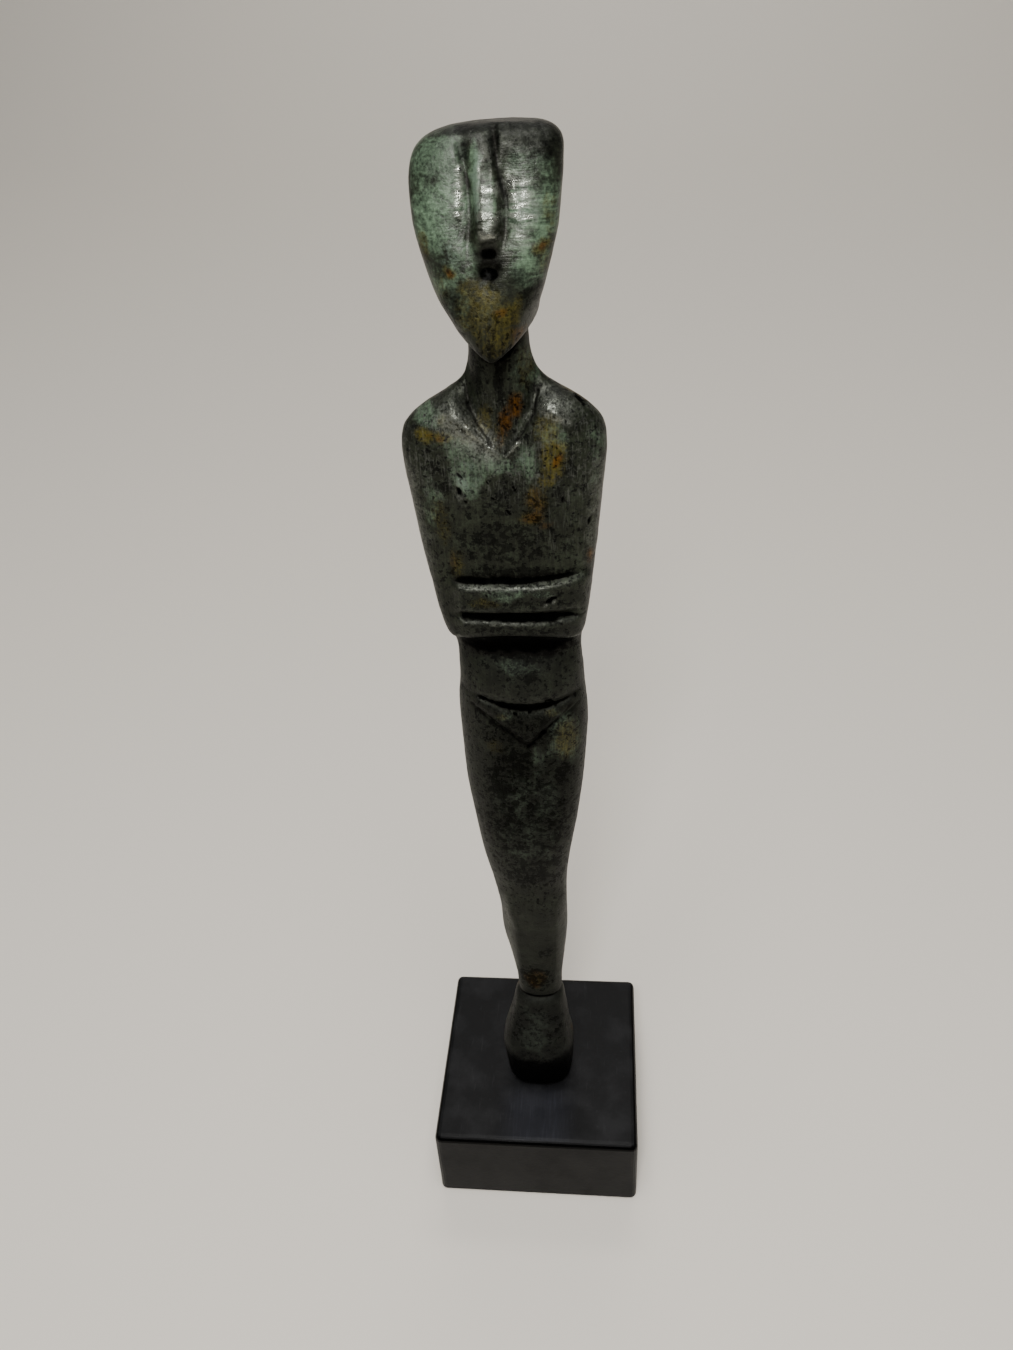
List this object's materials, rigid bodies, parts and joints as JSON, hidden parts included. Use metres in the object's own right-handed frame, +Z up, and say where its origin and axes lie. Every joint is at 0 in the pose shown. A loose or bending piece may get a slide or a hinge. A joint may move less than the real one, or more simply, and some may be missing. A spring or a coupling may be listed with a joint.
{
  "type": "folded-arm bronze figurine on a stone block",
  "caption": "Slender cast-bronze folded-arm figurine with a flat tilted shield-shaped face and long nose, patinated, standing on a square black stone block.",
  "frame": {"origin": "middle of the stone block's underside", "axes": "+Z up along the figure, -Y where the figure looks, +X to the figure's left"},
  "size_m": [0.05, 0.05, 0.2413],
  "materials": {
    "patinated_bronze": "satin",
    "black_stone": "satin"
  },
  "bodies": {
    "root": {"figure": "patinated_bronze", "base": "black_stone"}
  },
  "joints": []
}
